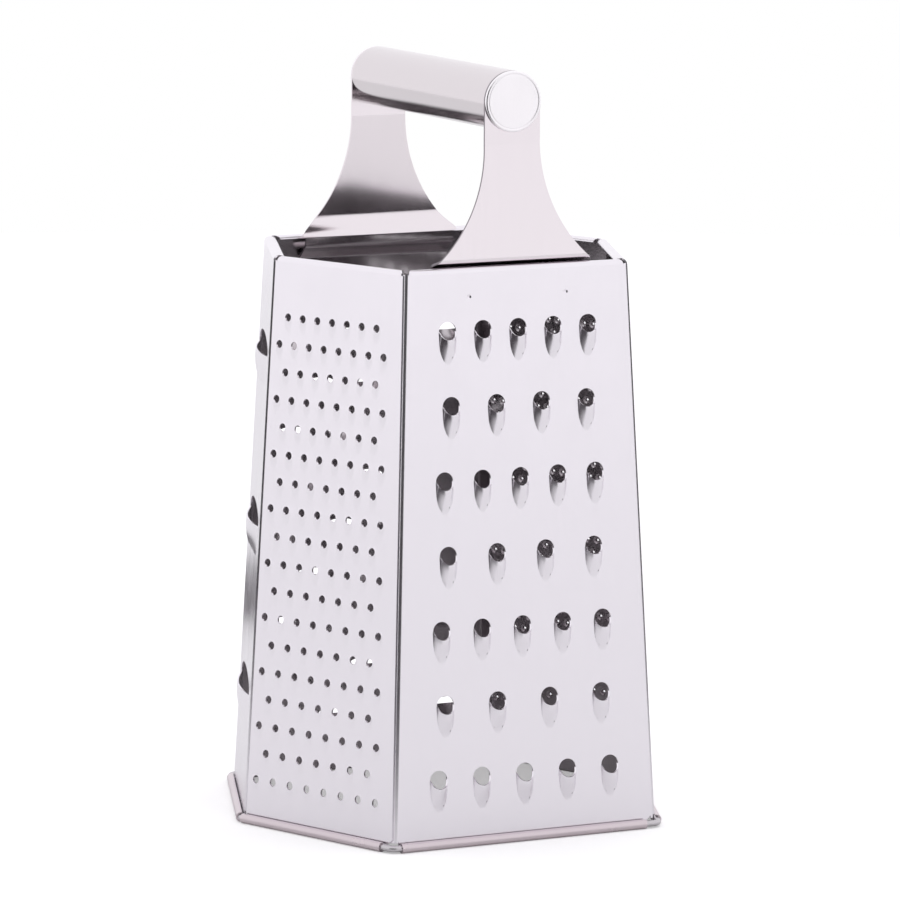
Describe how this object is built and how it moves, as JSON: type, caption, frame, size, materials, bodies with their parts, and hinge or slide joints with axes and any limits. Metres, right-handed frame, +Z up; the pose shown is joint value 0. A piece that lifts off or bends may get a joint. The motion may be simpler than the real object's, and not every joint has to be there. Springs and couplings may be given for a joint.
{
  "type": "box grater",
  "caption": "Faceted stamped steel box grater with a fixed tube handle, graded grating faces, slicing slots and a rolled, wired foot.",
  "frame": {"origin": "middle of the foot at floor height, the bottom centre of the box", "axes": "+Z up, -Y out of the coarse face, the tube handle lies along Y"},
  "size_m": [0.142, 0.127, 0.24],
  "materials": {
    "panel_steel": "bright rolled stainless sheet, soft reflections",
    "wire_steel": "drawn stainless wire",
    "handle_steel": "satin stainless"
  },
  "bodies": {
    "root": {"coarse_panel": "panel_steel", "fine_panel": "panel_steel", "slicer_panel": "panel_steel", "ribbon_panel": "panel_steel", "medium_panel": "panel_steel", "zester_panel": "panel_steel", "base_wire": "wire_steel", "front_arm": "handle_steel", "rear_arm": "handle_steel", "handle_tube": "handle_steel", "front_end_cap": "handle_steel", "rear_end_cap": "handle_steel"}
  },
  "joints": []
}
